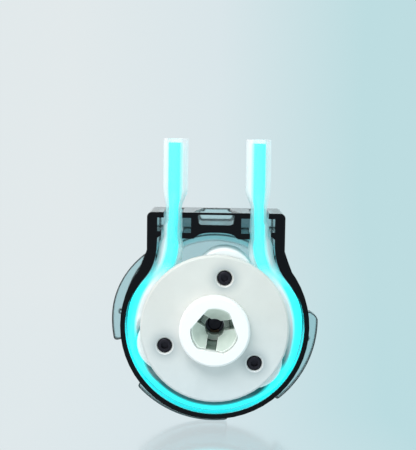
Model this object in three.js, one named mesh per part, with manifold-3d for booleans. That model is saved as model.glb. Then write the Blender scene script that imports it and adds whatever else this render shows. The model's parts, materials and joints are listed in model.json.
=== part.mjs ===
// Peristaltic pump head: a see-through cover with its tube track, a looped tube and a three-roller rotor.
// Millimetres. The drawing plane is the face of the pump; depth runs from the cover's outer flat face
// towards the drive side. The finished group is turned so that the drive side faces -Y and up is +Z.
import * as THREE from 'three';
import { mergeVertices } from 'three/addons/utils/BufferGeometryUtils.js';
import Module from 'manifold-3d';

const wasm = await Module();
wasm.setup();

// ---- driving dimensions ----
const GAP = 0.2; // clearance between pieces that are fitted to each other
const FIT = 0.15; // closer clearance round the roller pins
const CHAMFER = 0.2; // on the turned pins
const ROUND = 56; // facets round a large circle
const SMALL_ROUND = 24; // facets round a pin or a bore

// cover
const PLATE = 1.6; // thickness of the flat front
const SHELL_DEPTH = 12.5; // from the outer flat face to the open rim
const TRACK_RADIUS = 18.1; // the wall that the tube is pressed against
const WALL = 1.0; // thickness of the track wall
const FLOOR_STEPS = [[TRACK_RADIUS - 0.5, 2.1], [16.3, PLATE]]; // radius and depth of each floor step
const BLOCK_FLOOR = 2.6; // floor inside the top block
const BLOCK_HALF_WIDTH = 13.8;
const BLOCK_TOP = 23.1; // above the rotor's axis
const BLOCK_CORNER = 1.0;
const SHOULDER = [[11.5, 16.5], [BLOCK_HALF_WIDTH, 15.5], [14.5, 13.5], [15.4, 11.2], [12.0, 11.2]];
const PILOT_RADIUS = 3.4; // boss that carries the pivot pin
const PILOT_TOP = 3.0;

// bayonet tabs: start and end angle, radius at each end, and how many degrees each end takes to rise
const TAB_RADIUS = 21.5;
const TAB_NEAR = 5.9; // depth of the tab's drive-side face
const TAB_THICKNESS = 1.8;
const TABS = [
  { start: 136.5, end: 192.5, low: 20.1, rise: 40, high: 20.9, fall: 1 },
  { start: 221.3, end: 278, low: 20.9, rise: 1, high: 21.1, fall: 0.7 },
  { start: 308.4, end: 366, low: 21.0, rise: 1, high: 20.0, fall: 5 },
];
const NIB_ANGLES = [175.3, 349.6]; // small stops on the tabs, against the wall
const NIB = { circle: 19.6, radius: 0.45, height: 0.5 };

// tube bridge between the two tube slots, part of the cover
const LEG_OUTER = 6.8;
const LEG_BOTTOM = 17.85;
const ARCH_HALF = 4.4;
const ARCH_TOP = 19.1;
const ARCH_EASE = { side: 0.8, middle: 1.5 }; // handles that round the arch's corners
const POCKET = { inner: 5.0, bottom: 19.0, top: 22.0 };
const WINDOW = { half: 3.6, bottom: 20.65, top: 22.65, corner: 0.9 };
const BAR_THICKNESS = 0.6; // thin bar left over the window at the rim
const NOTCH_FAR_HALF = 2.3;
const NOTCH_FLARE = 1.0; // how much wider the notch is at the block's top

// tube and its grips
const TUBE_RADIUS = 2.5;
const TUBE_WALL = 1.0;
const TUBE_DEPTH = 9.6; // plane of the tube's middle
const TUBE_END = 37.7; // height of the cut ends
const TUBE_CLEARANCE = 0.25; // between tube and track
const TRACK_END = 8; // degrees above horizontal where the round track lets go of the tube
const SWING = { slot: 10, track: 6 }; // how stiffly the funnel leaves the slot and meets the track
const SLOT_OUTER = 11.75;
const LIP = { reach: 10.45, bottom: 22.0 };
const RIB = { reach: 10.95, bottom: 18.5, top: 19.3, foot: 17.9 };

// rotor
const PIN_CIRCLE = 10.5;
const PIN_ANGLES = [80, 199, 320];
const PIN_RADIUS = 1.37;
const ROLLER_RADIUS = 5.75;
const ROLLER_SPAN = [6.0, 13.1];
const ROLLER_CLEARANCE = 0.15; // left between a roller and the tube that it flattens
const DISC_RADIUS = 14.9;
const DISC_SPAN = [13.4, 15.0];
const HUB_RADIUS = 7.05;
const HUB_FACE = 17.5;
const COLUMN_RADIUS = 4.4;
const CAP_RADIUS = 12.8;
const CAP_SPAN = [3.8, 5.4];
const POST_CIRCLE = 9.0;
const POST_RADIUS = 1.8;
const SCREW_RADIUS = 0.8;
const SCREW_TIP = 10.6;
const SCREW_HEAD = { radius: 1.5, depth: 0.7, sunk: 0.9, slot: 0.35 };
const SOCKET = { radius: 4.75, flat: 4.0, floor: 14.3, play: 0.12 };
const COLLET_SHANK = 3.0;
const COLLET_FOOT = 9.1;
const COLLET_TOP = 16.4;
const COLLET_MOUTH = { radius: 4.4, foot: 13.8 }; // cone that leads the spindle in
const SPINDLE_RADIUS = 1.95;
const JAW_SLOT = 2.1;
const JAW_SLOT_ANGLES = [20, 140, 260]; // each slot ends at one of the socket's flats
const JAW_FOOT = 11.2; // depth where the collet's jaws are joined
const PIVOT_RADIUS = 1.5;
const PIVOT_SPAN = [0.9, 8.8];
const GROOVE = { from: 7.8, to: 8.4, radius: 1.15 }; // in the pivot pin, for its clip
const CLIP = { inner: 1.3, outer: 2.4, from: 7.95, to: 8.25, mouth: 0.9 };
const WASHER = { outer: 3.3, from: 3.15, to: 3.6 };
const BUSH = { outer: 2.6, from: 4.0, to: 7.5 };
const ROLLER_BORE = 2.5;
const SLEEVE = { outer: 2.3, flange: 3.0, lip: 0.3 }; // bearing inside each roller
const HEX = { radius: 0.75, depth: 0.8 }; // socket in the end of each roller pin
const EDGE = 0.4; // broken edge on the moulded discs and rollers

// ---- small helpers ----
const rad = THREE.MathUtils.degToRad;

function polar(radius, degrees) {
  return new THREE.Vector2(radius * Math.cos(rad(degrees)), radius * Math.sin(rad(degrees)));
}

function toSolid(geometry) {
  const bare = geometry.index ? geometry.toNonIndexed() : geometry.clone();
  bare.deleteAttribute('normal');
  bare.deleteAttribute('uv');
  const merged = mergeVertices(bare, 1e-4);
  const vertProperties = new Float32Array(merged.attributes.position.array);
  const triVerts = new Uint32Array(merged.index.array);
  return new wasm.Manifold(new wasm.Mesh({ numProp: 3, vertProperties, triVerts }));
}

function toGeometry(solid) {
  const { vertProperties, triVerts } = solid.getMesh();
  const geometry = new THREE.BufferGeometry();
  geometry.setAttribute('position', new THREE.Float32BufferAttribute(vertProperties, 3));
  geometry.setIndex([...triVerts]);
  return geometry;
}

// A flat outline pushed through the depth from one face to the other.
function extruded(shape, from, to, curveSegments = 12) {
  const depth = to - from;
  const geometry = new THREE.ExtrudeGeometry(shape, { depth, bevelEnabled: false, curveSegments });
  return toSolid(geometry.translate(0, 0, from));
}

// A profile of [radius, depth] corners turned about the depth axis.
function turned(profile, facets = ROUND) {
  const points = profile.map(([radius, depth]) => new THREE.Vector2(radius, depth));
  return toSolid(new THREE.LatheGeometry(points, facets).rotateX(Math.PI / 2));
}

function cylinder(radius, from, to, facets = SMALL_ROUND, [x, y] = [0, 0]) {
  return turned([[0, from], [radius, from], [radius, to], [0, to]], facets).translate(x, y, 0);
}

function ring(inner, outer, from, to, facets = SMALL_ROUND) {
  return turned([[inner, from], [outer, from], [outer, to], [inner, to], [inner, from]], facets);
}

function box(x0, x1, y0, y1, from, to) {
  const geometry = new THREE.BoxGeometry(x1 - x0, y1 - y0, to - from);
  return toSolid(geometry.translate((x0 + x1) / 2, (y0 + y1) / 2, (from + to) / 2));
}

function part(name, solid, color, roughness, metalness = 0) {
  const geometry = solid.isBufferGeometry ? solid : toGeometry(solid);
  const mesh = new THREE.Mesh(geometry, new THREE.MeshStandardMaterial({ color, roughness, metalness }));
  mesh.name = name;
  return mesh;
}

// ---- the tube's route, drawn for the right half from the cut end down to the bottom ----
const ROUTE_RADIUS = TRACK_RADIUS - TUBE_CLEARANCE - TUBE_RADIUS;
const SLOT_MIDDLE = SLOT_OUTER - TUBE_CLEARANCE - TUBE_RADIUS;
const FUNNEL_TOP = 17.6;

// The tube swings out from the slot and joins the round track.
function funnelCurve() {
  const join = polar(ROUTE_RADIUS, TRACK_END);
  const along = polar(1, TRACK_END - 90);
  return new THREE.CubicBezierCurve(
    new THREE.Vector2(SLOT_MIDDLE, FUNNEL_TOP),
    new THREE.Vector2(SLOT_MIDDLE, FUNNEL_TOP - SWING.slot),
    join.clone().addScaledVector(along, -SWING.track),
    join,
  );
}

// Middle of the tube and half its width at each height of the stub and slot: [height, x, half width].
const GRIPS = [
  [TUBE_END, 8.3, TUBE_RADIUS],
  [27.6, 8.32, TUBE_RADIUS],
  [23.6, 8.62, 1.62],
  [21.3, 8.64, 1.62],
  [19.9, 8.86, 1.84],
  [18.2, 8.88, 1.86],
  [FUNNEL_TOP, SLOT_MIDDLE, 2.0],
  [16.4, SLOT_MIDDLE, TUBE_RADIUS],
];

function gripAt(height) {
  const below = GRIPS.findIndex(([h]) => h <= height);
  if (below < 0) {
    return { x: SLOT_MIDDLE, half: TUBE_RADIUS };
  }
  const [h1, x1, a1] = GRIPS[below];
  const [h0, x0, a0] = GRIPS[Math.max(below - 1, 0)];
  const t = h0 === h1 ? 0 : THREE.MathUtils.smoothstep(height, h1, h0);
  return { x: x1 + (x0 - x1) * t, half: a1 + (a0 - a1) * t };
}

function rightHalfOfRoute() {
  const stub = [];
  for (let height = TUBE_END; height > FUNNEL_TOP + 0.3; height -= 0.8) {
    stub.push(new THREE.Vector2(gripAt(height).x, height));
  }
  const swing = funnelCurve().getPoints(14);
  const arc = [];
  const arcSteps = 16;
  for (let step = 1; step <= arcSteps; step += 1) {
    arc.push(polar(ROUTE_RADIUS, TRACK_END - ((TRACK_END + 90) * step) / arcSteps));
  }
  return [...stub, ...swing, ...arc];
}

function tubeRoute() {
  const right = rightHalfOfRoute();
  const left = right.slice(0, -1).map((p) => new THREE.Vector2(-p.x, p.y));
  const points = [...left, ...right.reverse()].map((p) => new THREE.Vector3(p.x, p.y, TUBE_DEPTH));
  return new THREE.CatmullRomCurve3(points, false, 'centripetal');
}

// Half the tube's width across the route, and how far its middle is pushed towards the wall: it is
// gripped in the slots, and flattened wherever a roller reaches past its inner side.
function squeezeAt(middle, outward) {
  const relaxed = gripAt(middle.y).half;
  const clear = ROLLER_RADIUS + ROLLER_CLEARANCE;
  let inner = -relaxed;
  for (const angle of PIN_ANGLES) {
    const pin = polar(PIN_CIRCLE, angle);
    const off = new THREE.Vector2(middle.x - pin.x, middle.y - pin.y);
    const along = off.x * outward.x + off.y * outward.y;
    const room = along ** 2 - off.lengthSq() + clear ** 2;
    if (room > 0) {
      inner = Math.max(inner, Math.sqrt(room) - along);
    }
  }
  return { half: (relaxed - inner) / 2, push: (relaxed + inner) / 2 };
}

// ---- root body ----
function blockOutline() {
  const c = BLOCK_CORNER;
  const shape = new THREE.Shape();
  shape.moveTo(-BLOCK_HALF_WIDTH, 0);
  shape.lineTo(BLOCK_HALF_WIDTH, 0);
  shape.lineTo(BLOCK_HALF_WIDTH, BLOCK_TOP - c);
  shape.absarc(BLOCK_HALF_WIDTH - c, BLOCK_TOP - c, c, 0, Math.PI / 2);
  shape.lineTo(-BLOCK_HALF_WIDTH + c, BLOCK_TOP);
  shape.absarc(-BLOCK_HALF_WIDTH + c, BLOCK_TOP - c, c, Math.PI / 2, Math.PI);
  shape.closePath();
  return shape;
}

// Outer side of the slot and funnel on the right, from the block's top down to the round track.
function slotSide() {
  const above = BLOCK_TOP + 1;
  const side = [
    new THREE.Vector2(LIP.reach, above),
    new THREE.Vector2(LIP.reach, LIP.bottom),
    new THREE.Vector2(SLOT_OUTER, LIP.bottom),
    new THREE.Vector2(SLOT_OUTER, RIB.top),
    new THREE.Vector2(RIB.reach, RIB.top),
    new THREE.Vector2(RIB.reach, RIB.bottom),
    new THREE.Vector2(SLOT_OUTER, RIB.foot),
  ];
  const curve = funnelCurve();
  const steps = 12;
  for (let step = 0; step <= steps; step += 1) {
    const tangent = curve.getTangent(step / steps);
    const outward = new THREE.Vector2(-tangent.y, tangent.x);
    side.push(curve.getPoint(step / steps).addScaledVector(outward, TUBE_RADIUS + TUBE_CLEARANCE));
  }
  return side;
}

function cavityOutline() {
  const right = slotSide();
  const mirrored = right.map((p) => new THREE.Vector2(-p.x, p.y)).reverse();
  const above = BLOCK_TOP + 1;
  const shape = new THREE.Shape(right);
  shape.absarc(0, 0, TRACK_RADIUS, rad(TRACK_END), rad(180 - TRACK_END), true);
  for (const p of mirrored) {
    shape.lineTo(p.x, p.y);
  }
  shape.lineTo(-LEG_OUTER, above);
  shape.lineTo(-LEG_OUTER, LEG_BOTTOM);
  shape.lineTo(-ARCH_HALF, LEG_BOTTOM);
  const { side, middle } = ARCH_EASE;
  shape.bezierCurveTo(-ARCH_HALF + side, ARCH_TOP, -middle, ARCH_TOP, 0, ARCH_TOP);
  shape.bezierCurveTo(middle, ARCH_TOP, ARCH_HALF - side, ARCH_TOP, ARCH_HALF, LEG_BOTTOM);
  shape.lineTo(LEG_OUTER, LEG_BOTTOM);
  shape.lineTo(LEG_OUTER, above);
  shape.closePath();
  return shape;
}

function windowOutline() {
  const { half, bottom, top, corner } = WINDOW;
  const shape = new THREE.Shape();
  shape.moveTo(-half, top);
  shape.lineTo(-half, bottom + corner);
  shape.absarc(-half + corner, bottom + corner, corner, Math.PI, 1.5 * Math.PI);
  shape.absarc(half - corner, bottom + corner, corner, 1.5 * Math.PI, 2 * Math.PI);
  shape.lineTo(half, top);
  shape.closePath();
  return shape;
}

// Notch in the bridge's top: it narrows away from the rim, and its sides lean outwards.
function topNotch() {
  const [far, near] = [PLATE, SHELL_DEPTH - BAR_THICKNESS];
  const [floor, top] = [WINDOW.top - 0.5, BLOCK_TOP];
  const geometry = new THREE.BoxGeometry(2, top + 1 - floor, near - far);
  geometry.translate(0, (top + 1 + floor) / 2, (near + far) / 2);
  const position = geometry.attributes.position;
  for (let i = 0; i < position.count; i += 1) {
    const open = (position.getZ(i) - far) / (near - far);
    const lean = (NOTCH_FLARE * (position.getY(i) - floor)) / (top - floor);
    const half = NOTCH_FAR_HALF + (WINDOW.half - NOTCH_FAR_HALF) * open + lean * (0.4 + 0.6 * open);
    position.setX(i, position.getX(i) * half);
  }
  return toSolid(geometry);
}

function tabOutline({ start, end, low, rise, high, fall }) {
  const root = TRACK_RADIUS + WALL / 2;
  const shape = new THREE.Shape();
  const steps = Math.round((end - start) / 3);
  for (let step = 0; step <= steps; step += 1) {
    const p = polar(root, start + ((end - start) * step) / steps);
    shape[step ? 'lineTo' : 'moveTo'](p.x, p.y);
  }
  const corners = [end, end - fall / 2, start + rise / 2, start];
  const between = Array.from({ length: steps * 2 - 1 }, (_, i) => (i + 1) / (steps * 2));
  const angles = [...corners, ...between.map((t) => start + (end - start) * t)];
  for (const angle of angles.sort((a, b) => b - a)) {
    const up = Math.min(1, (angle - start) / rise);
    const down = Math.min(1, (end - angle) / fall);
    const rising = low + (TAB_RADIUS - low) * Math.sin((up * Math.PI) / 2);
    const falling = high + (TAB_RADIUS - high) * Math.sin((down * Math.PI) / 2);
    const p = polar(Math.min(rising, falling), angle);
    shape.lineTo(p.x, p.y);
  }
  shape.closePath();
  return shape;
}

// Shoulders that carry the block's sides out to the round wall.
function shoulder(side) {
  const corners = SHOULDER.map(([x, y]) => new THREE.Vector2(x * side, y));
  return extruded(new THREE.Shape(corners), 0, SHELL_DEPTH);
}

function frontCover() {
  let cover = cylinder(TRACK_RADIUS + WALL, 0, SHELL_DEPTH, ROUND);
  cover = cover.add(extruded(blockOutline(), 0, SHELL_DEPTH)).add(shoulder(-1)).add(shoulder(1));
  for (const tab of TABS) {
    cover = cover.add(extruded(tabOutline(tab), TAB_NEAR - TAB_THICKNESS, TAB_NEAR));
  }
  for (const angle of NIB_ANGLES) {
    const at = polar(NIB.circle, angle);
    const nib = cylinder(NIB.radius, TAB_NEAR - 0.2, TAB_NEAR + NIB.height, 12, [at.x, at.y]);
    cover = cover.add(nib);
  }
  cover = cover.subtract(extruded(cavityOutline(), BLOCK_FLOOR, SHELL_DEPTH + 1, 30));
  for (const [radius, depth] of FLOOR_STEPS) {
    cover = cover.subtract(cylinder(radius, depth, BLOCK_FLOOR + 0.5, ROUND));
  }
  for (const side of [-1, 1]) {
    const [x0, x1] = [POCKET.inner * side, (LEG_OUTER + 0.5) * side].sort((a, b) => a - b);
    cover = cover.subtract(box(x0, x1, POCKET.bottom, POCKET.top, BLOCK_FLOOR, SHELL_DEPTH + 1));
  }
  cover = cover.subtract(extruded(windowOutline(), PLATE, SHELL_DEPTH + 1));
  cover = cover.subtract(topNotch());
  cover = cover.add(cylinder(PILOT_RADIUS, PLATE - 0.5, PILOT_TOP));
  cover = cover.subtract(cylinder(PIVOT_RADIUS + GAP, PIVOT_SPAN[0] - GAP, PILOT_TOP + 1));
  return part('front_cover', cover, 0x2c4650, 0.12);
}

// A straight hollow section bent along the route, flattened where it is gripped or pressed.
function pumpTube() {
  const SIDES = 10;
  const STEPS = 92;
  const BORE = 0.5; // marks the inner wall of the unit section
  const section = new THREE.Shape();
  const hole = new THREE.Path();
  for (let side = 0; side < SIDES; side += 1) {
    const outer = polar(1, (side * 360) / SIDES);
    const inner = polar(BORE, (side * 360) / SIDES);
    section[side ? 'lineTo' : 'moveTo'](outer.x, outer.y);
    hole[side ? 'lineTo' : 'moveTo'](inner.x, inner.y);
  }
  section.closePath();
  hole.closePath();
  section.holes.push(hole);
  const geometry = new THREE.ExtrudeGeometry(section, { depth: 1, steps: STEPS, bevelEnabled: false });
  const route = tubeRoute();
  const position = geometry.attributes.position;
  for (let i = 0; i < position.count; i += 1) {
    const along = position.getZ(i);
    const middle = route.getPointAt(along);
    const tangent = route.getTangentAt(along);
    const outward = new THREE.Vector3(tangent.y, -tangent.x, 0);
    const { half, push } = squeezeAt(middle, outward);
    const spread = Math.sqrt(2 * TUBE_RADIUS ** 2 - half ** 2);
    const angle = Math.atan2(position.getY(i), position.getX(i));
    const inBore = Math.hypot(position.getX(i), position.getY(i)) < 0.75;
    const across = inBore ? Math.max(half - TUBE_WALL, 0.12) : half;
    const deep = inBore ? spread - TUBE_WALL : spread;
    const out = push + across * Math.cos(angle);
    const at = middle.addScaledVector(outward, out);
    position.setXYZ(i, at.x, at.y, at.z - deep * Math.sin(angle));
  }
  return part('pump_tube', toSolid(geometry), 0xe4eeee, 0.35);
}

function pivotPin() {
  const r = PIVOT_RADIUS;
  const c = CHAMFER;
  const [bottom, top] = PIVOT_SPAN;
  const pin = turned([
    [0, bottom], [r - c, bottom], [r, bottom + c], [r, GROOVE.from], [GROOVE.radius, GROOVE.from],
    [GROOVE.radius, GROOVE.to], [r, GROOVE.to], [r, top - c], [r - c, top], [0, top],
  ], SMALL_ROUND);
  return part('pivot_pin', pin, 0x2a2a2e, 0.35, 0.8);
}

function retainingClip() {
  const clip = ring(CLIP.inner, CLIP.outer, CLIP.from, CLIP.to);
  const mouth = box(-CLIP.mouth, CLIP.mouth, -CLIP.outer - 1, 0, CLIP.from - 1, CLIP.to + 1);
  return part('retaining_clip', clip.subtract(mouth), 0x3a3c40, 0.35, 0.9);
}

function thrustWasher() {
  const washer = ring(PIVOT_RADIUS + GAP, WASHER.outer, WASHER.from, WASHER.to);
  return part('thrust_washer', washer, 0xd9d2c0, 0.5);
}

// ---- rotor body ----
// Round opening with three flats, where the drive collet sits.
function socketOutline(shrink) {
  const shape = new THREE.Shape();
  const radius = SOCKET.radius - shrink;
  const halfFlat = THREE.MathUtils.radToDeg(Math.acos((SOCKET.flat - shrink) / radius));
  JAW_SLOT_ANGLES.forEach((flat, index) => {
    const [from, to] = [flat + halfFlat, flat + 120 - halfFlat];
    if (index === 0) {
      const first = polar(radius, flat - halfFlat);
      shape.moveTo(first.x, first.y);
    }
    const corner = polar(radius, from);
    shape.lineTo(corner.x, corner.y);
    shape.absarc(0, 0, radius, rad(from), rad(to));
  });
  shape.closePath();
  return shape;
}

function rotorBody() {
  const [back, face] = DISC_SPAN;
  const foot = CAP_SPAN[1] + GAP;
  let body = turned([
    [0, foot], [COLUMN_RADIUS, foot], [COLUMN_RADIUS, back], [DISC_RADIUS, back],
    [DISC_RADIUS, face - EDGE], [DISC_RADIUS - EDGE, face], [HUB_RADIUS, face],
    [HUB_RADIUS, HUB_FACE - EDGE], [HUB_RADIUS - EDGE, HUB_FACE], [0, HUB_FACE],
  ]);
  for (const angle of PIN_ANGLES) {
    const post = polar(POST_CIRCLE, angle + 60);
    body = body.add(cylinder(POST_RADIUS, foot, back + 0.5, SMALL_ROUND, [post.x, post.y]));
    const screwHole = cylinder(SCREW_RADIUS + GAP, foot - 1, SCREW_TIP + 0.4, 16, [post.x, post.y]);
    body = body.subtract(screwHole);
    const pin = polar(PIN_CIRCLE, angle);
    const hole = PIN_RADIUS + FIT;
    const seat = turned([
      [0, back - 1], [hole, back - 1], [hole, face - 0.3], [hole + 0.3, face], [hole + 0.3, face + 1],
      [0, face + 1],
    ], SMALL_ROUND);
    body = body.subtract(seat.translate(pin.x, pin.y, 0));
  }
  body = body.subtract(extruded(socketOutline(0), SOCKET.floor, HUB_FACE + 1));
  for (const angle of JAW_SLOT_ANGLES) {
    const relief = box(0, SOCKET.flat, -JAW_SLOT / 2, JAW_SLOT / 2, JAW_FOOT + 1, SOCKET.floor + 0.5);
    body = body.subtract(relief.rotate(0, 0, angle));
  }
  body = body.subtract(cylinder(COLLET_SHANK + GAP, COLLET_FOOT - GAP, SOCKET.floor + 0.5));
  body = body.subtract(cylinder(BUSH.outer + GAP, foot - 1, COLLET_FOOT));
  return part('rotor_body', body, 0xf0f4f3, 0.4);
}

function rotorCap() {
  const [from, to] = CAP_SPAN;
  const r = CAP_RADIUS;
  let cap = turned([
    [0, from], [r - EDGE, from], [r, from + EDGE], [r, to], [0, to],
  ]);
  cap = cap.subtract(cylinder(BUSH.outer + GAP, from - 1, to + 1));
  for (const angle of PIN_ANGLES) {
    const pin = polar(PIN_CIRCLE, angle);
    const post = polar(POST_CIRCLE, angle + 60);
    const headRadius = SCREW_HEAD.radius + GAP;
    cap = cap.subtract(cylinder(PIN_RADIUS + FIT, from + 0.5, to + 1, SMALL_ROUND, [pin.x, pin.y]));
    cap = cap.subtract(cylinder(SCREW_RADIUS + GAP, from - 1, to + 1, 16, [post.x, post.y]));
    cap = cap.subtract(cylinder(headRadius, from - 1, from + SCREW_HEAD.sunk, 20, [post.x, post.y]));
  }
  return part('rotor_cap', cap, 0xe8eeee, 0.4);
}

function rotorBush() {
  const bush = ring(PIVOT_RADIUS + GAP, BUSH.outer, BUSH.from, BUSH.to);
  return part('rotor_bush', bush, 0xa8763e, 0.35, 0.85);
}

// Three sprung jaws that take the motor's spindle, parted by slots and joined at their foot.
function driveCollet() {
  let collet = cylinder(COLLET_SHANK, COLLET_FOOT, SOCKET.floor + GAP + 0.5);
  collet = collet.add(extruded(socketOutline(SOCKET.play), SOCKET.floor + GAP, COLLET_TOP));
  collet = collet.subtract(cylinder(SPINDLE_RADIUS, COLLET_FOOT - 1, COLLET_TOP + 1));
  const { radius, foot } = COLLET_MOUTH;
  const mouth = turned([
    [0, foot], [SPINDLE_RADIUS, foot], [radius, COLLET_TOP], [radius, COLLET_TOP + 1], [0, COLLET_TOP + 1],
  ], 30);
  collet = collet.subtract(mouth);
  for (const angle of JAW_SLOT_ANGLES) {
    const slot = box(0, 6, -JAW_SLOT / 2, JAW_SLOT / 2, JAW_FOOT, COLLET_TOP + 1);
    collet = collet.subtract(slot.rotate(0, 0, angle));
  }
  return part('drive_collet', collet, 0xc4d2ca, 0.45);
}

function rotorScrew(index) {
  const [from] = CAP_SPAN;
  const crown = from + SCREW_HEAD.sunk - FIT - SCREW_HEAD.depth;
  let screw = cylinder(SCREW_HEAD.radius, crown, crown + SCREW_HEAD.depth, 20);
  screw = screw.add(cylinder(SCREW_RADIUS, crown + 0.5, SCREW_TIP, 14));
  screw = screw.subtract(box(-1.1, 1.1, -0.2, 0.2, crown - 1, crown + SCREW_HEAD.slot));
  const mesh = part(`rotor_screw_${index + 1}`, screw, 0xa9adb2, 0.3, 0.9);
  const at = polar(POST_CIRCLE, PIN_ANGLES[index] + 60);
  mesh.position.set(at.x, at.y, 0);
  return mesh;
}

// Dowel that carries a roller, with a hexagon socket in its drive-side end.
function rollerPin(index) {
  const [bottom, top] = [CAP_SPAN[0] + 0.7, DISC_SPAN[1] - 0.05];
  const r = PIN_RADIUS;
  const c = CHAMFER;
  let pin = turned([
    [0, bottom], [r - c, bottom], [r, bottom + c], [r, top - c], [r - c, top], [0, top],
  ], SMALL_ROUND);
  pin = pin.subtract(cylinder(HEX.radius, top - HEX.depth, top + 1, 6));
  const mesh = part(`roller_pin_${index + 1}`, pin, 0x1f1e24, 0.4, 0.6);
  const at = polar(PIN_CIRCLE, PIN_ANGLES[index]);
  mesh.position.set(at.x, at.y, 0);
  return mesh;
}

// ---- roller bodies ----
function roller(index) {
  const [from, to] = ROLLER_SPAN;
  const r = ROLLER_RADIUS;
  const bore = ROLLER_BORE;
  const wheel = turned([
    [bore, from], [r - EDGE, from], [r, from + EDGE], [r, to - EDGE], [r - EDGE, to], [bore, to],
    [bore, from],
  ], 40);
  const mesh = part(`roller_${index + 1}`, wheel, 0xf4f6f5, 0.35);
  const at = polar(PIN_CIRCLE, PIN_ANGLES[index]);
  mesh.position.set(at.x, at.y, 0);
  return mesh;
}

function rollerBush(index) {
  const [from, to] = [CAP_SPAN[1] + FIT, ROLLER_SPAN[1]];
  const inner = PIN_RADIUS + FIT;
  const { outer, flange, lip } = SLEEVE;
  const sleeve = turned([
    [inner, from], [flange, from], [flange, from + lip], [outer, from + lip], [outer, to], [inner, to],
    [inner, from],
  ], SMALL_ROUND);
  const mesh = part(`roller_bush_${index + 1}`, sleeve, 0x9a6d3a, 0.35, 0.85);
  const at = polar(PIN_CIRCLE, PIN_ANGLES[index]);
  mesh.position.set(at.x, at.y, 0);
  return mesh;
}

// ---- the assembly ----
const rotor = new THREE.Group();
rotor.add(rotorBody(), rotorCap(), rotorBush(), driveCollet());
for (const index of PIN_ANGLES.keys()) {
  rotor.add(roller(index), rollerBush(index), rollerPin(index), rotorScrew(index));
}

const pump = new THREE.Group();
pump.add(frontCover(), pumpTube(), pivotPin(), thrustWasher(), retainingClip(), rotor);
pump.rotation.x = Math.PI / 2;

export default pump;
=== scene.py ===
import json
import math

import bmesh
import bpy
from mathutils import Matrix, Vector

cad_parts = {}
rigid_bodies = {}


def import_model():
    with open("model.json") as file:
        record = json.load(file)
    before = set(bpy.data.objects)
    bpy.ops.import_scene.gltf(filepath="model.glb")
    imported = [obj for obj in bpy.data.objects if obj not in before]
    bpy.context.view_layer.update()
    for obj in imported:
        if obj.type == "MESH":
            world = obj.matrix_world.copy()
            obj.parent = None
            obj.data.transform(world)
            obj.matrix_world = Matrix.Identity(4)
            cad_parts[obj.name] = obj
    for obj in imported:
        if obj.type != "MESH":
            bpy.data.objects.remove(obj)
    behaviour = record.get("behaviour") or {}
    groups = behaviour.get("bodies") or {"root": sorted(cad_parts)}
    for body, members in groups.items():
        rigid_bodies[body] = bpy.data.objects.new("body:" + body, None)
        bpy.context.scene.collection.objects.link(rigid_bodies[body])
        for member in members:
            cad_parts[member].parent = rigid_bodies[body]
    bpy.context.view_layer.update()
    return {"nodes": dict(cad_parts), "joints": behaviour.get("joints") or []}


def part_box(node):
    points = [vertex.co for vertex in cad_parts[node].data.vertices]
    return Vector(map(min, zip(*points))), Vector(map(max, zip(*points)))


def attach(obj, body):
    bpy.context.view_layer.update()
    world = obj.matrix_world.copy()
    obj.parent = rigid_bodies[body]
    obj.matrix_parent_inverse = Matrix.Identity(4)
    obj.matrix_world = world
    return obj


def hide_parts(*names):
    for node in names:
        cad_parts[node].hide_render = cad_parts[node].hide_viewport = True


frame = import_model()

MM = 0.001

# ---- places read from the frame ----
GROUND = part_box("front_cover")[0].z
TUBE_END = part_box("pump_tube")[1].z / MM
# The rollers' axes, in millimetres to the right and up.
PINS = [Vector(joint["pos_m"]).xz / MM for joint in frame["joints"] if joint["parent"] == "rotor"]

# ---- dimensions of the pump, as the CAD has them ----
RIM_DEPTH = 12.5  # the cover's open rim
FLOOR_DEPTH = 2.6  # the cover's floor, outside its round steps
STEP_RADIUS = 16.3  # where the floor steps down to its thinnest
TRACK_RADIUS = 18.1  # the wall that the tube is pressed against
LEG_OUTER = 6.8  # side of the bridge's legs, which face the tube slots
POCKET = {"inner": 5.0, "bottom": 19.0, "top": 22.0}  # recess in the side of each leg
DISC_FACE = 15.0  # depth of the disc's drive-side face
COLLET_TOP = 16.4  # depth of the collet's drive-side end
SOCKET_FLAT = 4.0  # from the rotor's axis to the socket's flats
PIN_RADIUS = 1.37
TUBE_RADIUS = 2.5
TUBE_WALL = 1.0
TUBE_DEPTH = 9.6  # plane of the tube's middle
ROUTE_RADIUS = 15.35  # of the tube's middle round the track
TRACK_END = 8.0  # degrees above horizontal where the round track lets go of the tube
SWING_SLOT, SWING_TRACK = 10.0, 6.0  # how stiffly the funnel leaves the slot and meets the track
FUNNEL_TOP = 17.6
SLOT_MIDDLE = 9.0
ROLLER_REACH = 5.9  # a roller's radius and the small gap to the tube
# Height, middle and half width of the tube in the stub and the slot.
GRIPS = [
    (TUBE_END, 8.3, TUBE_RADIUS),
    (27.6, 8.32, TUBE_RADIUS),
    (23.6, 8.62, 1.62),
    (21.3, 8.64, 1.62),
    (19.9, 8.86, 1.84),
    (18.2, 8.88, 1.86),
    (FUNNEL_TOP, SLOT_MIDDLE, 2.0),
    (16.4, SLOT_MIDDLE, TUBE_RADIUS),
]

# ---- dimensions that only the looks have ----
GRIPPED_WALL = 0.42  # share of the half width that the wall takes where the slot grips the tube
LEAST_BORE = 0.12  # half the bore that is left under a roller
BORE_GAP = 0.03  # between the liquid and the bore
LIQUID_DROP = 0.8  # the liquid's level below the cut ends
STUB_MIDDLE = 8.5  # mean sideways place of the stubs' middles
FUNNEL_SWING = 3.7  # how far the tube's middle has moved outwards at the funnel's foot
FUNNEL_FOOT = 8.0  # height of the funnel's foot
EDGE_BAND = 0.6  # width of the painted dark shade along the smoky plastic's edges
COLLET_HIGHLIGHT_BAND = 0.22  # width of the painted highlight along the collet's edges
TUBE_GLOW_CENTRE = -0.5  # height of the middle of the circle that the painted cyan glow on the tube's outer side follows
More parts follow.
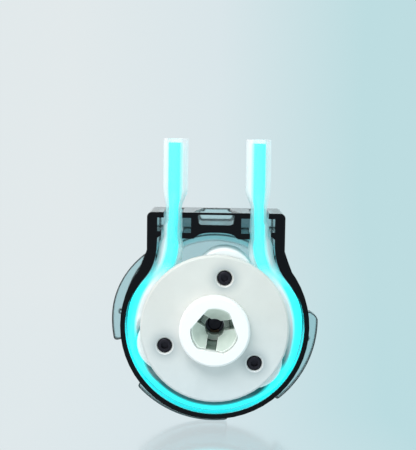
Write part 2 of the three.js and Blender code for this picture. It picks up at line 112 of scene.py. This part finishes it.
# Heights between which a look fades out upwards.
ROTOR_PAINTED_SHADE_FADE = (-15.0, 5.0)  # the painted shade on the rotor, darker and cooler towards the bottom
SHADOW_FADE = (-12.0, 2.0)  # the shadow on the tube's inner side
GLOW_FADE = (2.0, 12.0)  # the painted cyan glow on the track wall
TUBE_GLOW_FADE = (8.0, 13.0)  # the painted cyan glow on the tube


# ---- node helpers ----
def new_material(name):
    material = bpy.data.materials.new(name)
    material.use_nodes = True
    tree = material.node_tree
    return material, tree, tree.nodes["Principled BSDF"]


def node(tree, kind, **values):
    """A new node, with each value set on its socket, or on the node where it has no such socket."""
    made = tree.nodes.new(kind)
    for key, value in values.items():
        if key in made.inputs:
            made.inputs[key].default_value = value
        else:
            setattr(made, key, value)
    return made


def place(tree):
    """Position on the object in millimetres, so that patterns have a real scale."""
    coords = node(tree, "ShaderNodeTexCoord")
    scale = node(tree, "ShaderNodeVectorMath", operation="SCALE")
    scale.inputs["Scale"].default_value = 1 / MM
    tree.links.new(coords.outputs["Object"], scale.inputs[0])
    return scale.outputs["Vector"]


def noise(tree, at, scale, detail=3.0, stretch=None):
    if stretch is not None:
        mapping = node(tree, "ShaderNodeMapping", Scale=stretch)
        tree.links.new(at, mapping.inputs["Vector"])
        at = mapping.outputs["Vector"]
    texture = node(tree, "ShaderNodeTexNoise", Scale=scale, Detail=detail)
    tree.links.new(at, texture.inputs["Vector"])
    return texture.outputs["Fac"]


def spread(tree, value, low, high, start=0.3, end=0.7):
    """Low up to the start and high from the end on, with a straight ramp between them."""
    ranged = node(tree, "ShaderNodeMapRange")
    ranged.inputs["From Min"].default_value = start
    ranged.inputs["From Max"].default_value = end
    ranged.inputs["To Min"].default_value = low
    ranged.inputs["To Max"].default_value = high
    tree.links.new(value, ranged.inputs["Value"])
    return ranged.outputs["Result"]


def rising(tree, value, start, end):
    return spread(tree, value, 0.0, 1.0, start, end)


def falling(tree, value, start, end):
    return spread(tree, value, 1.0, 0.0, start, end)


def clouds(tree, at, scale, detail):
    """Soft mottling from 0 to 1."""
    return rising(tree, noise(tree, at, scale, detail), 0.3, 0.7)


def calculate(tree, operation, first, second=None):
    """One step of arithmetic on node values; the second value may be a plain number."""
    step = node(tree, "ShaderNodeMath", operation=operation)
    tree.links.new(first, step.inputs[0])
    if isinstance(second, float):
        step.inputs[1].default_value = second
    elif second is not None:
        tree.links.new(second, step.inputs[1])
    return step.outputs["Value"]


def product(tree, *factors):
    result = factors[0]
    for factor in factors[1:]:
        result = calculate(tree, "MULTIPLY", result, factor)
    return result


def blend_colours(tree, factor, first, second):
    """The first colour where the factor is 0 and the second where it is 1."""
    mix = node(tree, "ShaderNodeMix", data_type="RGBA")
    for socket, colour in (("A", first), ("B", second)):
        target = next(i for i in mix.inputs if i.name == socket and i.type == "RGBA")
        if isinstance(colour, tuple):
            target.default_value = (*colour, 1.0)
        else:
            tree.links.new(colour, target)
    tree.links.new(factor, mix.inputs["Factor"])
    return next(o for o in mix.outputs if o.type == "RGBA")


def bumped(tree, shader, height, strength, distance):
    bump = node(tree, "ShaderNodeBump", Strength=strength, Distance=distance)
    tree.links.new(height, bump.inputs["Height"])
    tree.links.new(bump.outputs["Normal"], shader.inputs["Normal"])


def axis_of(tree, at, axis):
    """One coordinate of the position, in millimetres."""
    split = node(tree, "ShaderNodeSeparateXYZ")
    tree.links.new(at, split.inputs["Vector"])
    return split.outputs[axis]


def distance_from(tree, at, x, z):
    """Distance in millimetres from a line along the rotor's axis."""
    offset = node(tree, "ShaderNodeVectorMath", operation="SUBTRACT")
    tree.links.new(at, offset.inputs[0])
    offset.inputs[1].default_value = (x, 0, z)
    flat = node(tree, "ShaderNodeVectorMath", operation="MULTIPLY")
    flat.inputs[1].default_value = (1, 0, 1)
    tree.links.new(offset.outputs["Vector"], flat.inputs[0])
    length = node(tree, "ShaderNodeVectorMath", operation="LENGTH")
    tree.links.new(flat.outputs["Vector"], length.inputs[0])
    return length.outputs["Value"]


def near_edges(tree, reach):
    """One along every sharp edge of the mesh, falling to nothing within the reach."""
    rounded = node(tree, "ShaderNodeBevel", Radius=reach * MM)
    rounded.samples = 6
    true = node(tree, "ShaderNodeNewGeometry")
    same = node(tree, "ShaderNodeVectorMath", operation="DOT_PRODUCT")
    tree.links.new(rounded.outputs["Normal"], same.inputs[0])
    tree.links.new(true.outputs["Normal"], same.inputs[1])
    return falling(tree, same.outputs["Value"], 0.95, 0.998)


def satin_skin(tree, shader, at, low, high):
    """Mottled gloss and the fine skin texture that a polished mould leaves."""
    tree.links.new(spread(tree, noise(tree, at, 1.3, 5.0), low, high), shader.inputs["Roughness"])
    shader.inputs["IOR"].default_value = 1.48
    bumped(tree, shader, noise(tree, at, 9.0, 4.0), 0.12, 0.02 * MM)


# ---- materials ----
def moulded_plastic(name, bright, shade):
    """Satin moulded plastic with faint flow mottling."""
    material, tree, shader = new_material(name)
    at = place(tree)
    colour = blend_colours(tree, clouds(tree, at, 0.35, 4.0), bright, shade)
    tree.links.new(colour, shader.inputs["Base Color"])
    satin_skin(tree, shader, at, 0.28, 0.42)
    return material


def rotor_plastic(name):
    """White acetal with painted shade: the disc greyer than the raised hub, darker and cooler towards the
    bottom, and shaded round the pins.
    """
    material, tree, shader = new_material(name)
    at = place(tree)
    depth = axis_of(tree, at, "Y")
    mottle = clouds(tree, at, 0.22, 4.0)
    # Painted shade: lighter and warmer at the top, darker and cooler at the bottom.
    upper = blend_colours(tree, mottle, (0.735, 0.735, 0.70), (0.695, 0.695, 0.66))
    lower = blend_colours(tree, mottle, (0.70, 0.75, 0.765), (0.66, 0.71, 0.725))
    low = falling(tree, axis_of(tree, at, "Z"), *ROTOR_PAINTED_SHADE_FADE)
    colour = blend_colours(tree, low, upper, lower)
    # Painted shade in soft halos round the pins, beyond their chamfers.
    painted_pin_shade = (0.30, 0.36, 0.38)
    for pin in PINS:
        away = distance_from(tree, at, pin.x, pin.y)
        fading = spread(tree, away, 0.75, 0.0, PIN_RADIUS + 0.53, PIN_RADIUS + 2.83)
        past_chamfer = rising(tree, away, PIN_RADIUS + 0.38, PIN_RADIUS + 0.58)
        colour = blend_colours(tree, product(tree, fading, fading, past_chamfer), colour, painted_pin_shade)
    # The raised hub stays bright white; the disc round it carries the painted shade.
    hub = falling(tree, depth, -DISC_FACE - 0.35, -DISC_FACE - 0.1)
    colour = blend_colours(tree, hub, colour, (0.97, 0.975, 0.97))
    # Painted shade inside the socket below its mouth, dark grey-green.
    inside = falling(tree, distance_from(tree, at, 0.0, 0.0), SOCKET_FLAT + 0.2, SOCKET_FLAT + 0.5)
    below_mouth = rising(tree, depth, -COLLET_TOP - 0.2, -COLLET_TOP + 1.6)
    socket = product(tree, inside, below_mouth)
    colour = blend_colours(tree, socket, colour, (0.24, 0.32, 0.27))
    tree.links.new(colour, shader.inputs["Base Color"])
    shader.inputs["Subsurface Weight"].default_value = 0.08
    shader.inputs["Subsurface Radius"].default_value = (0.8, 0.9, 1.0)
    shader.inputs["Subsurface Scale"].default_value = 0.8 * MM
    satin_skin(tree, shader, at, 0.30, 0.44)
    return material


def floor_tint(tree, depth, height, sideways, across):
    """The see-through floor: plain, with a teal ring by the track and painted shade in the pockets by the
    slots.
    """
    on_floor = rising(tree, depth, -FLOOR_DEPTH - 0.8, -FLOOR_DEPTH - 0.2)
    ring = product(
        tree,
        on_floor,
        rising(tree, across, STEP_RADIUS - 0.1, STEP_RADIUS + 0.4),
        falling(tree, across, TRACK_RADIUS + 1.2, TRACK_RADIUS + 1.5),
    )
    # Painted shade in the recess beside each leg.
    shaded_pocket = product(
        tree,
        rising(tree, sideways, POCKET["inner"] - 0.2, POCKET["inner"]),
        falling(tree, sideways, LEG_OUTER + 0.2, LEG_OUTER + 0.5),
        rising(tree, height, POCKET["bottom"] - 0.2, POCKET["bottom"]),
        falling(tree, height, POCKET["top"], POCKET["top"] + 0.2),
    )
    colour = blend_colours(tree, ring, (1.0, 1.0, 1.0), (0.55, 0.86, 0.88))
    return blend_colours(tree, shaded_pocket, colour, (0.22, 0.30, 0.32))


def lit_track(tree, depth, height, across):
    """One on the round track wall, which the tube's cyan liquid lights from inside, as a painted glow."""
    return product(
        tree,
        rising(tree, across, TRACK_RADIUS - 0.4, TRACK_RADIUS - 0.2),
        falling(tree, across, TRACK_RADIUS + 0.1, TRACK_RADIUS + 0.3),
        rising(tree, depth, -RIM_DEPTH + 0.2, -RIM_DEPTH + 0.5),
        falling(tree, height, *GLOW_FADE),
    )


def dark_parts(tree, depth, across):
    """One on the rim, and along the sharp edges for their painted dark shade, but faint along the steps of
    the floor.
    """
    rim = falling(tree, depth, -RIM_DEPTH + 0.05, -RIM_DEPTH + 0.2)
    steps = product(
        tree,
        rising(tree, depth, -FLOOR_DEPTH - 0.8, -FLOOR_DEPTH - 0.2),
        falling(tree, across, TRACK_RADIUS - 0.9, TRACK_RADIUS - 0.7),
    )
    faintness = spread(tree, steps, 1.0, 0.3, 0.0, 1.0)
    # Painted dark shade along the sharp edges.
    edges = product(tree, near_edges(tree, EDGE_BAND), faintness)
    return calculate(tree, "MAXIMUM", edges, rim)


def smoky_plastic(name, tint, density):
    """See-through smoke polycarbonate: black where it is deep, with painted dark shade along its sharp
    edges and a painted cyan glow on the track wall; teal where thin.
    """
    material, tree, shader = new_material(name)
    at = place(tree)
    depth = axis_of(tree, at, "Y")
    height = axis_of(tree, at, "Z")
    sideways = calculate(tree, "ABSOLUTE", axis_of(tree, at, "X"))
    across = distance_from(tree, at, 0.0, 0.0)
    lit = lit_track(tree, depth, height, across)
    dark = dark_parts(tree, depth, across)
    plain = floor_tint(tree, depth, height, sideways, across)
    # Painted cyan glow on the track wall, as light from the tube's liquid.
    painted_cyan = blend_colours(tree, lit, plain, (0.07, 0.80, 0.84))
    colour = blend_colours(tree, dark, painted_cyan, (0.003, 0.0035, 0.005))
    tree.links.new(colour, shader.inputs["Base Color"])
    solid = calculate(tree, "MAXIMUM", dark, spread(tree, lit, 0.0, 0.8, 0.0, 1.0))
    tree.links.new(falling(tree, solid, 0.0, 1.0), shader.inputs["Transmission Weight"])
    shader.inputs["IOR"].default_value = 1.5
    shader.inputs["Specular IOR Level"].default_value = 0.1
    tree.links.new(spread(tree, noise(tree, at, 0.8, 4.0), 0.02, 0.07), shader.inputs["Roughness"])
    bumped(tree, shader, noise(tree, at, 0.5, 2.0), 0.05, 0.05 * MM)
    absorb = node(tree, "ShaderNodeVolumeAbsorption")
    absorb.inputs["Color"].default_value = (*tint, 1.0)
    absorb.inputs["Density"].default_value = density
    tree.links.new(absorb.outputs["Volume"], tree.nodes["Material Output"].inputs["Volume"])
    return material


def collet_plastic(name):
    """Pale grey-green plastic, with painted highlights along its edges and a painted glow that is
    strongest at its drive-side end and fades away from it.
    """
    material, tree, shader = new_material(name)
    at = place(tree)
    body = blend_colours(tree, clouds(tree, at, 0.5, 4.0), (0.51, 0.58, 0.52), (0.43, 0.50, 0.44))
    # Painted highlight along the edges.
    colour = blend_colours(tree, near_edges(tree, COLLET_HIGHLIGHT_BAND), body, (0.9, 0.93, 0.9))
    tree.links.new(colour, shader.inputs["Base Color"])
    depth = axis_of(tree, at, "Y")
    # Painted glow, strongest at the drive-side end.
    glow = spread(tree, depth, 0.15, 0.0, -COLLET_TOP + 0.4, -COLLET_TOP + 3.2)
    shader.inputs["Emission Color"].default_value = (0.80, 0.92, 0.83, 1.0)
    tree.links.new(glow, shader.inputs["Emission Strength"])
    satin_skin(tree, shader, at, 0.34, 0.48)
    return material


def metal(name, colour, rough, streak):
    """Turned metal; a larger streak packs the tool marks closer along the axis."""
    material, tree, shader = new_material(name)
    at = place(tree)
    turned = noise(tree, at, 2.0, 3.0, stretch=(1.0, streak, 1.0))
    shade = tuple(c * 0.7 for c in colour)
    tree.links.new(blend_colours(tree, turned, colour, shade), shader.inputs["Base Color"])
    tree.links.new(spread(tree, turned, rough, rough + 0.18), shader.inputs["Roughness"])
    shader.inputs["Metallic"].default_value = 1.0
    bumped(tree, shader, turned, 0.15, 0.02 * MM)
    return material


def tube_sides(tree, at, height):
    """One on the inner and outer sides of the stubs, the slots and the funnel, but not before the bore."""
    fall = falling(tree, height, FUNNEL_FOOT, FUNNEL_TOP)
    outermost = STUB_MIDDLE + FUNNEL_SWING
    middle = spread(tree, product(tree, fall, fall), STUB_MIDDLE, outermost, 0.0, 1.0)
    sideways = calculate(tree, "ABSOLUTE", axis_of(tree, at, "X"))
    off_middle = calculate(tree, "ABSOLUTE", calculate(tree, "SUBTRACT", sideways, middle))
    return spread(tree, off_middle, 0.0, 0.7, 0.9, 1.7)


def silicone(name):
    """Milky silicone, clear before the bore; round the track its outer side has a painted cyan glow, and
    its inner side a painted shadow towards the bottom.
    """
    material, tree, shader = new_material(name)
    at = place(tree)
    height = axis_of(tree, at, "Z")
    cloud = clouds(tree, at, 0.6, 3.0)
    on_track = falling(tree, height, *TUBE_GLOW_FADE)
    across = distance_from(tree, at, 0.0, TUBE_GLOW_CENTRE)
    outer = rising(tree, across, ROUTE_RADIUS + 0.35, ROUTE_RADIUS + 0.95)
    painted_glow = product(tree, on_track, outer)
    milky = blend_colours(tree, cloud, (0.96, 0.90, 0.91), (1.0, 0.93, 0.94))
    shadow = falling(tree, height, *SHADOW_FADE)
    inner = blend_colours(tree, shadow, milky, (0.03, 0.065, 0.085))
    # Painted cyan colour on the outer side, standing in for the lit liquid.
    painted_cyan = blend_colours(tree, cloud, (0.02, 0.62, 0.66), (0.04, 0.70, 0.74))
    tree.links.new(blend_colours(tree, painted_glow, inner, painted_cyan), shader.inputs["Base Color"])
    # Painted cyan glow, only where the cyan colour is painted.
    shader.inputs["Emission Color"].default_value = (0.05, 1.0, 1.0, 1.0)
    tree.links.new(spread(tree, painted_glow, 0.0, 0.8, 0.0, 1.0), shader.inputs["Emission Strength"])
    depth = axis_of(tree, at, "Y")
    back = spread(tree, depth, 0.10, 0.62, -TUBE_DEPTH - 1.0, -TUBE_DEPTH + 1.0)
    alpha = node(tree, "ShaderNodeMix", data_type="FLOAT")
    tree.links.new(on_track, alpha.inputs["Factor"])
    tree.links.new(
        calculate(tree, "MAXIMUM", back, tube_sides(tree, at, height)), alpha.inputs["A"]
    )
    alpha.inputs["B"].default_value = 0.92
    tree.links.new(alpha.outputs["Result"], shader.inputs["Alpha"])
    tree.links.new(spread(tree, noise(tree, at, 1.5, 3.0), 0.3, 0.42), shader.inputs["Roughness"])
    shader.inputs["IOR"].default_value = 1.41
    shader.inputs["Specular IOR Level"].default_value = 0.35
    return material


def wetted_bore(name):
    """The tube's inner wall, which all but vanishes against the liquid."""
    material, tree, shader = new_material(name)
    at = place(tree)
    dye = blend_colours(tree, clouds(tree, at, 0.9, 2.0), (0.1, 0.8, 0.83), (0.2, 0.86, 0.88))
    tree.links.new(dye, shader.inputs["Base Color"])
    shader.inputs["Alpha"].default_value = 0.05
    shader.inputs["Roughness"].default_value = 0.3
    shader.inputs["IOR"].default_value = 1.06
    return material


def dyed_liquid_painted_glow(name):
    """Liquid dyed cyan, with a painted cyan glow."""
    material, tree, shader = new_material(name)
    at = place(tree)
    swirl = rising(tree, noise(tree, at, 0.25, 2.0, stretch=(1.0, 1.0, 0.35)), 0.3, 0.7)
    body = blend_colours(tree, swirl, (0.02, 0.22, 0.24), (0.02, 0.28, 0.30))
    glow = blend_colours(tree, swirl, (0.035, 0.86, 0.88), (0.06, 1.0, 1.0))
    tree.links.new(body, shader.inputs["Base Color"])
    # Painted cyan glow.
    tree.links.new(glow, shader.inputs["Emission Color"])
    shader.inputs["Emission Strength"].default_value = 0.95
    tree.links.new(spread(tree, noise(tree, at, 1.1, 2.0), 0.25, 0.4), shader.inputs["Roughness"])
    shader.inputs["IOR"].default_value = 1.33
    shader.inputs["Specular IOR Level"].default_value = 0.2
    return material


ACETAL = rotor_plastic("white_acetal")
ROLLER_WHITE = moulded_plastic("roller_white", (0.90, 0.92, 0.915), (0.85, 0.88, 0.875))
COLLET = collet_plastic("collet_plastic")
WASHER = moulded_plastic("washer_plastic", (0.75, 0.70, 0.60), (0.66, 0.60, 0.50))
SMOKE = smoky_plastic("smoky_polycarbonate", (0.20, 0.60, 0.65), 450.0)
DARK_STEEL = metal("black_steel", (0.035, 0.033, 0.042), 0.38, 0.2)
BRIGHT_STEEL = metal("turned_steel", (0.62, 0.63, 0.65), 0.22, 6.0)
SPRING_STEEL = metal("spring_steel", (0.10, 0.10, 0.12), 0.3, 1.0)
BRONZE = metal("sintered_bronze", (0.24, 0.17, 0.11), 0.45, 1.0)
SILICONE = silicone("silicone")
BORE = wetted_bore("wetted_bore")
CYAN = dyed_liquid_painted_glow("dyed_liquid_painted_glow")


# ---- meshes ----
def link(name, mesh, materials):
    """A new object in the scene, with the mesh and its materials."""
    piece = bpy.data.objects.new(name, mesh)
    bpy.context.scene.collection.objects.link(piece)
    for material in materials:
        mesh.materials.append(material)
    return piece


def refine(name, node_name, material, edge, body):
    """The CAD node's own shape with its flats merged, its edges rounded and its curves shaded smooth."""
    mesh = frame["nodes"][node_name].data.copy()
    mesh.name = name
    mesh.materials.clear()
    work = bmesh.new()
    work.from_mesh(mesh)
    bmesh.ops.remove_doubles(work, verts=work.verts, dist=1e-6)
    bmesh.ops.dissolve_limit(work, angle_limit=math.radians(0.8), verts=work.verts, edges=work.edges)
    for face in work.faces:
        face.smooth = True
        face.material_index = 0
    work.to_mesh(mesh)
    work.free()
    if "custom_normal" in mesh.attributes:
        mesh.attributes.remove(mesh.attributes["custom_normal"])
    piece = link(name, mesh, [material])
    bevel = piece.modifiers.new("edge", "BEVEL")
    bevel.width = edge * MM
    bevel.segments = 3
    bevel.limit_method = "ANGLE"
    bevel.angle_limit = math.radians(28)
    bevel.miter_outer = "MITER_ARC"
    bevel.use_clamp_overlap = True
    normals = piece.modifiers.new("normals", "WEIGHTED_NORMAL")
    normals.keep_sharp = True
    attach(piece, body)
    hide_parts(node_name)


# ---- the tube's route, as the CAD lays it ----
def smoothstep(t):
    t = min(1.0, max(0.0, t))
    return t * t * (3 - 2 * t)


def grip_at(height):
    """Middle and half width of the tube in the stub and the slot."""
    for (h0, x0, a0), (h1, x1, a1) in zip(GRIPS, GRIPS[1:]):
        if height >= h1:
            t = smoothstep((height - h1) / (h0 - h1))
            return x1 + (x0 - x1) * t, a1 + (a0 - a1) * t
    return SLOT_MIDDLE, TUBE_RADIUS


def on_circle(radius, degrees):
    angle = math.radians(degrees)
    return Vector((radius * math.cos(angle), radius * math.sin(angle)))


def half_route():
    """The tube's middle on the right, from the cut end down to the bottom of the track."""
    stub_step = 0.4
    funnel_steps = 36
    track_steps = 49
    points = []
    height = TUBE_END
    while height > FUNNEL_TOP + 0.3:
        points.append(Vector((grip_at(height)[0], height)))
        height -= stub_step
    join = on_circle(ROUTE_RADIUS, TRACK_END)
    along = on_circle(1.0, TRACK_END - 90)
    corners = [
        Vector((SLOT_MIDDLE, FUNNEL_TOP)),
        Vector((SLOT_MIDDLE, FUNNEL_TOP - SWING_SLOT)),
        join - SWING_TRACK * along,
        join,
    ]
    for step in range(funnel_steps + 1):
        t = step / funnel_steps
        weights = ((1 - t) ** 3, 3 * t * (1 - t) ** 2, 3 * t * t * (1 - t), t**3)
        points.append(sum((w * c for w, c in zip(weights, corners)), Vector((0, 0))))
    for step in range(1, track_steps + 1):
        points.append(on_circle(ROUTE_RADIUS, TRACK_END - (TRACK_END + 90) * step / track_steps))
    return points


def squeeze_at(middle, outward):
    """The tube's half width, and how far the rollers push its middle towards the wall."""
    relaxed = grip_at(middle.y)[1]
    inner = -relaxed
    for pin in PINS:
        off = middle - pin
        along = off.dot(outward)
        room = along**2 - off.length_squared + ROLLER_REACH**2
        if room > 0:
            inner = max(inner, math.sqrt(room) - along)
    return (relaxed - inner) / 2, (relaxed + inner) / 2


def stations():
    """Middle, outward direction, half width and half depth of the tube all along its route."""
    right = half_route()
    points = [Vector((-p.x, p.y)) for p in right[:-1]] + right[::-1]
    found = []
    for index, point in enumerate(points):
        after = points[min(index + 1, len(points) - 1)]
        before = points[max(index - 1, 0)]
        tangent = (after - before).normalized()
        outward = Vector((-tangent.y, tangent.x))
        if point.y >= FUNNEL_TOP:
            outward = Vector((math.copysign(1, point.x), 0))
        elif outward.dot(point) < 0:
            outward = -outward
        half, push = squeeze_at(point, outward)
        half_depth = math.sqrt(2 * TUBE_RADIUS**2 - half**2)
        found.append((point + outward * push, outward, half, half_depth))
    return found


def loft(work, rings):
    """Quads between rings of matching points."""
    made = [[work.verts.new(p) for p in ring] for ring in rings]
    for first, second in zip(made, made[1:]):
        for i in range(len(first)):
            j = (i + 1) % len(first)
            work.faces.new((first[i], first[j], second[j], second[i]))
    return made


def section(station, shrink, sides, floor=LEAST_BORE):
    """The tube's oval section, smaller all round by the shrink but never under the floor."""
    middle, outward, half, deep = station
    if shrink and middle.y > FUNNEL_TOP - 0.6:
        shrink = min(shrink, GRIPPED_WALL * half)
    across = max(half - shrink, floor)
    down = max(deep - shrink, floor)
    ring = []
    for side in range(sides):
        angle = 2 * math.pi * side / sides
        flat = middle + outward * (across * math.cos(angle))
        depth = TUBE_DEPTH + down * math.sin(angle)
        ring.append(Vector((flat.x, -depth, flat.y)) * MM)
    return ring


def smooth_mesh(work, name):
    """The finished mesh, with its faces pointing out and shaded smooth."""
    bmesh.ops.recalc_face_normals(work, faces=work.faces)
    for face in work.faces:
        face.smooth = True
    mesh = bpy.data.meshes.new(name)
    work.to_mesh(mesh)
    work.free()
    return mesh


def tube_skin(route):
    """The silicone wall: outer skin, inner skin and the two square-cut ends."""
    sides = 32
    work = bmesh.new()
    outer = loft(work, [section(s, 0.0, sides) for s in route])
    wall_faces = len(work.faces)
    inner = loft(work, [section(s, TUBE_WALL, sides) for s in route])
    work.faces.ensure_lookup_table()
    for face in work.faces[wall_faces:]:
        face.material_index = int(face.calc_center_median().z < (TUBE_END - LIQUID_DROP) * MM)
    for end in (0, -1):
        for i in range(sides):
            j = (i + 1) % sides
            work.faces.new((outer[end][i], outer[end][j], inner[end][j], inner[end][i]))
    mesh = smooth_mesh(work, "pump_tube_skin")
    mesh.set_sharp_from_angle(angle=math.radians(50))
    piece = link("pump_tube_skin", mesh, [SILICONE, BORE])
    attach(piece, "head")
    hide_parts("pump_tube")


def liquid_column(route):
    """The liquid that fills the bore, with a hollow meniscus at each end."""
    sides = 28
    held = [s for s in route if s[0].y < TUBE_END - LIQUID_DROP + 0.1]
    rings = [section(s, TUBE_WALL + BORE_GAP, sides, LEAST_BORE - BORE_GAP) for s in held]
    work = bmesh.new()
    made = loft(work, rings)
    for edge in (made[0], made[-1]):
        centre = sum((v.co for v in edge), Vector()) / sides
        hollow = Vector((0, 0, -0.25 * MM))
        dish = [work.verts.new(v.co.lerp(centre, 0.5) + hollow) for v in edge]
        tip = work.verts.new(centre + Vector((0, 0, -0.35 * MM)))
        for i in range(sides):
            j = (i + 1) % sides
            work.faces.new((edge[i], edge[j], dish[j], dish[i]))
            work.faces.new((dish[i], dish[j], tip))
    piece = link("liquid_column", smooth_mesh(work, "liquid_column"), [CYAN])
    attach(piece, "head")


# ---- stage, light and camera ----
def stage_paper():
    """Paper that glows evenly, warmer on the left, and mirrors a little close to the pump."""
    fan_start = 0.25  # metres; keeps the change of tint broad near the pump
    material = bpy.data.materials.new("stage_paper")
    material.use_nodes = True
    tree = material.node_tree
    tree.nodes.clear()
    output = node(tree, "ShaderNodeOutputMaterial")
    coords = node(tree, "ShaderNodeTexCoord")
    split = node(tree, "ShaderNodeSeparateXYZ")
    tree.links.new(coords.outputs["Object"], split.inputs["Vector"])
    far = calculate(tree, "ADD", calculate(tree, "ABSOLUTE", split.outputs["Y"]), fan_start)
    fan = calculate(tree, "DIVIDE", split.outputs["X"], far)
    ramp = node(tree, "ShaderNodeValToRGB")
    ramp.color_ramp.elements[0].color = (0.73, 0.785, 0.80, 1)
    ramp.color_ramp.elements[1].color = (0.49, 0.695, 0.725, 1)
    middle = ramp.color_ramp.elements.new(0.5)
    middle.color = (0.67, 0.76, 0.79, 1)
    tree.links.new(rising(tree, fan, -0.15, 0.15), ramp.inputs["Fac"])
    glow = node(tree, "ShaderNodeEmission", Strength=1.04)
    tree.links.new(ramp.outputs["Color"], glow.inputs["Color"])
    gloss = node(tree, "ShaderNodeBsdfGlossy", Roughness=0.16)
    gloss.inputs["Color"].default_value = (0.9, 0.97, 1.0, 1)
    ground = node(tree, "ShaderNodeVectorMath", operation="MULTIPLY")
    ground.inputs[1].default_value = (1, 1, 0)
    tree.links.new(coords.outputs["Object"], ground.inputs[0])
    away = node(tree, "ShaderNodeVectorMath", operation="LENGTH")
    tree.links.new(ground.outputs["Vector"], away.inputs[0])
    mix = node(tree, "ShaderNodeMixShader")
    tree.links.new(spread(tree, away.outputs["Value"], 0.26, 0.0, 0.03, 0.16), mix.inputs["Fac"])
    tree.links.new(glow.outputs["Emission"], mix.inputs[1])
    tree.links.new(gloss.outputs["BSDF"], mix.inputs[2])
    tree.links.new(mix.outputs["Shader"], output.inputs["Surface"])
    return material


def stage():
    """A pale round cove: a flat floor that turns up into a wall."""
    floor_radius, wall_top, bend = 0.55, 0.6, 0.25
    bend_steps = 12
    sides = 96
    drop = 0.2 * MM  # from the cover's lowest point to the floor
    profile = [(0.0, 0.0), (floor_radius * 0.5, 0.0)]
    for step in range(bend_steps + 1):
        turn = on_circle(bend, 90 * step / bend_steps)
        profile.append((floor_radius + turn.y, bend - turn.x))
    profile.append((floor_radius + bend, wall_top))
    verts = []
    for radius, height in profile:
        for side in range(sides):
            around = on_circle(radius, 360 * side / sides)
            verts.append((around.x, around.y, GROUND - drop + height))
    faces = []
    for row in range(len(profile) - 1):
        inner, outer = row * sides, (row + 1) * sides
        for i in range(sides):
            j = (i + 1) % sides
            faces.append((inner + i, inner + j, outer + j, outer + i))
    mesh = bpy.data.meshes.new("stage_cove")
    mesh.from_pydata(verts, [], faces)
    for polygon in mesh.polygons:
        polygon.use_smooth = True
    cove = link("stage_cove", mesh, [stage_paper()])


def area_light(name, at, aim, size, power):
    data = bpy.data.lights.new(name, "AREA")
    data.shape = "RECTANGLE"
    data.size, data.size_y = size
    data.energy = power
    lamp = bpy.data.objects.new(name, data)
    bpy.context.scene.collection.objects.link(lamp)
    lamp.location = at
    lamp.rotation_euler = (Vector(aim) - Vector(at)).to_track_quat("-Z", "Y").to_euler()


def lights():
    """An even studio sky, a key light over the drive side and a rim light from behind."""
    world = bpy.data.worlds.new("studio")
    bpy.context.scene.world = world
    world.use_nodes = True
    sky = world.node_tree.nodes["Background"]
    sky.inputs["Color"].default_value = (0.92, 0.97, 1.0, 1)
    sky.inputs["Strength"].default_value = 0.5
    pump = (0, -0.01, 0)
    area_light("key", at=(-0.05, -0.13, 0.17), aim=pump, size=(0.15, 0.10), power=0.32)
    area_light("rim", at=(0.24, 0.18, 0.26), aim=pump, size=(0.16, 0.16), power=1.0)


def camera():
    """Stands in front of the drive side and above it, and looks a little down."""
    data = bpy.data.cameras.new("camera")
    data.lens = 72.0
    data.sensor_width = 36.0
    data.clip_start = 0.01
    data.clip_end = 5.0
    eye = Vector((0.0, -0.191, 0.039))
    pitch, yaw, roll = math.radians(-5.87), math.radians(0.52), math.radians(0.8)
    made = bpy.data.objects.new("camera", data)
    bpy.context.scene.collection.objects.link(made)
    turn = Matrix.Rotation(yaw, 4, "Z") @ Matrix.Rotation(math.pi / 2 + pitch, 4, "X")
    made.matrix_world = Matrix.Translation(eye) @ turn @ Matrix.Rotation(roll, 4, "Z")
    bpy.context.scene.camera = made


camera()
stage()
lights()
bpy.context.scene.view_settings.view_transform = "Standard"
bpy.context.scene.cycles.use_denoising = True

refine("cover", "front_cover", SMOKE, 0.12, "head")
refine("rotor_disc", "rotor_body", ACETAL, 0.14, "rotor")
refine("rotor_back_plate", "rotor_cap", ACETAL, 0.1, "rotor")
refine("spindle_collet", "drive_collet", COLLET, 0.08, "rotor")
refine("rotor_bearing", "rotor_bush", BRONZE, 0.08, "rotor")
refine("pivot", "pivot_pin", DARK_STEEL, 0.05, "head")
refine("washer", "thrust_washer", WASHER, 0.05, "head")
refine("clip", "retaining_clip", SPRING_STEEL, 0.04, "head")
for number in (1, 2, 3):
    own = f"roller_{number}"
    refine(f"{own}_wheel", own, ROLLER_WHITE, 0.14, own)
    refine(f"{own}_sleeve", f"roller_bush_{number}", BRONZE, 0.06, own)
    refine(f"{own}_axle", f"roller_pin_{number}", DARK_STEEL, 0.06, "rotor")
    refine(f"cap_screw_{number}", f"rotor_screw_{number}", BRIGHT_STEEL, 0.05, "rotor")

route = stations()
tube_skin(route)
liquid_column(route)
